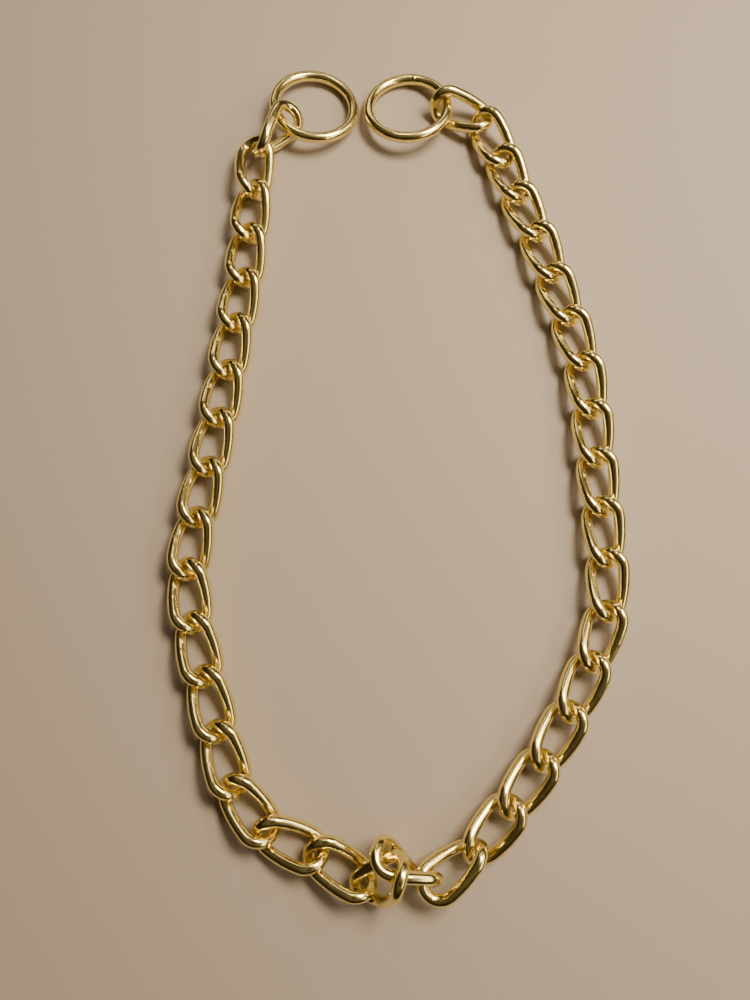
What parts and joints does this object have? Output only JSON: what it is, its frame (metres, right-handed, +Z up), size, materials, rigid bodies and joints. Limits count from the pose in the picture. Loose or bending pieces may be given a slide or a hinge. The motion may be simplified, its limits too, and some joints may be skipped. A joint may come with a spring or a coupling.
{
  "type": "choker",
  "caption": "Open choker chain of heavy twisted oval curb links with a round ring at each end, lying flat in a long U.",
  "frame": {"origin": "on the floor under the middle of the bounding box of the lying chain", "axes": "+Z up from the floor, +Y from the bottom of the U towards the two rings, +X to the right as seen from above with the rings at the top"},
  "size_m": [0.127, 0.2454, 0.017],
  "materials": {
    "gold_plate": "polished"
  },
  "bodies": {
    "root": {"link_01": "gold_plate", "link_02": "gold_plate", "link_03": "gold_plate", "link_04": "gold_plate", "link_05": "gold_plate", "link_06": "gold_plate", "link_07": "gold_plate", "link_08": "gold_plate", "link_09": "gold_plate", "link_10": "gold_plate", "link_11": "gold_plate", "link_12": "gold_plate", "link_13": "gold_plate", "link_14": "gold_plate", "link_15": "gold_plate", "link_16": "gold_plate", "link_17": "gold_plate", "link_18": "gold_plate", "link_19": "gold_plate", "link_20": "gold_plate", "link_21": "gold_plate", "link_22": "gold_plate", "link_23": "gold_plate", "link_24": "gold_plate", "link_25": "gold_plate", "link_26": "gold_plate", "link_27": "gold_plate", "link_28": "gold_plate", "link_29": "gold_plate", "link_30": "gold_plate", "link_31": "gold_plate", "link_32": "gold_plate", "link_33": "gold_plate", "link_34": "gold_plate", "link_35": "gold_plate", "link_36": "gold_plate", "link_37": "gold_plate", "ring_left": "gold_plate", "ring_right": "gold_plate"}
  },
  "joints": []
}
